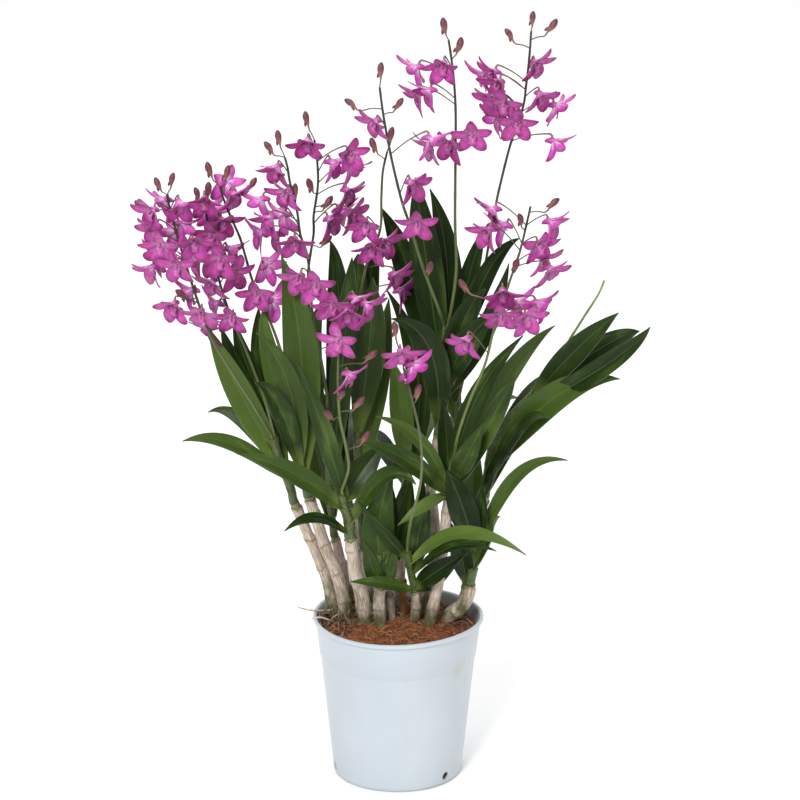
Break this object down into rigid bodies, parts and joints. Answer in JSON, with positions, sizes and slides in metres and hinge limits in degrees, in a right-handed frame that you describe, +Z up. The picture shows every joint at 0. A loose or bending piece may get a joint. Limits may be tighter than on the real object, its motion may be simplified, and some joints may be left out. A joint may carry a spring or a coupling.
{
  "type": "potted dendrobium orchid",
  "caption": "Dendrobium orchid with leafy canes and arching sprays of magenta flowers, standing in coir and bark in a pale plastic nursery pot.",
  "frame": {"origin": "centre of the pot's flat base, on the surface that the pot stands on", "axes": "+Z up along the pot's axis; -Y towards the front, from where the sprays are seen in the picture; +X to the viewer's right"},
  "size_m": [0.3471, 0.2133, 0.5438],
  "materials": {
    "pot": "pale blue-white moulded plastic, satin",
    "medium": "red-brown coir fibre with dark bark chips, dry",
    "cane": "papery beige sheaths with brown streaks",
    "leaf": "thick dark green leaf, satin",
    "petal": "soft magenta petals, paler towards the centre, on dusky stalks",
    "stump": "dead grey and orange-brown sheath, dry",
    "young": "fresh green young flower stalk"
  },
  "bodies": {
    "root": {"pot": "pot", "growing_medium": "medium", "cane_left_outer": "cane", "cane_left_inner": "cane", "cane_left_front": "cane", "cane_left_back": "cane", "cane_centre_back": "cane", "cane_centre_low": "cane", "cane_centre_shoot": "cane", "cane_tall_centre": "cane", "cane_right_front": "cane", "cane_right_low": "cane", "cane_right_outer": "cane", "cane_back_right": "cane", "cane_back_centre": "cane", "cane_back_left": "cane", "stump_grey": "stump", "stump_orange": "stump", "leafy_top_left_outer": "leaf", "leafy_top_left_inner": "leaf", "leafy_top_left_front": "leaf", "leafy_top_left_back": "leaf", "leafy_top_centre_back": "leaf", "leafy_top_centre_low": "leaf", "leafy_top_centre_shoot": "leaf", "leafy_top_tall_centre": "leaf", "leafy_top_right_front": "leaf", "leafy_top_right_low": "leaf", "leafy_top_right_outer": "leaf", "leafy_top_back_right": "leaf", "leafy_top_back_centre": "leaf", "leafy_top_back_left": "leaf", "spray_far_left": "petal", "spray_left_mass": "petal", "spray_left": "petal", "spray_left_middle": "petal", "spray_middle": "petal", "spray_front_low": "petal", "spray_centre": "petal", "spray_centre_tall": "petal", "spray_top_centre": "petal", "spray_top_right": "petal", "spray_right": "petal", "spray_front_right": "petal", "spray_far_right": "young"}
  },
  "joints": []
}
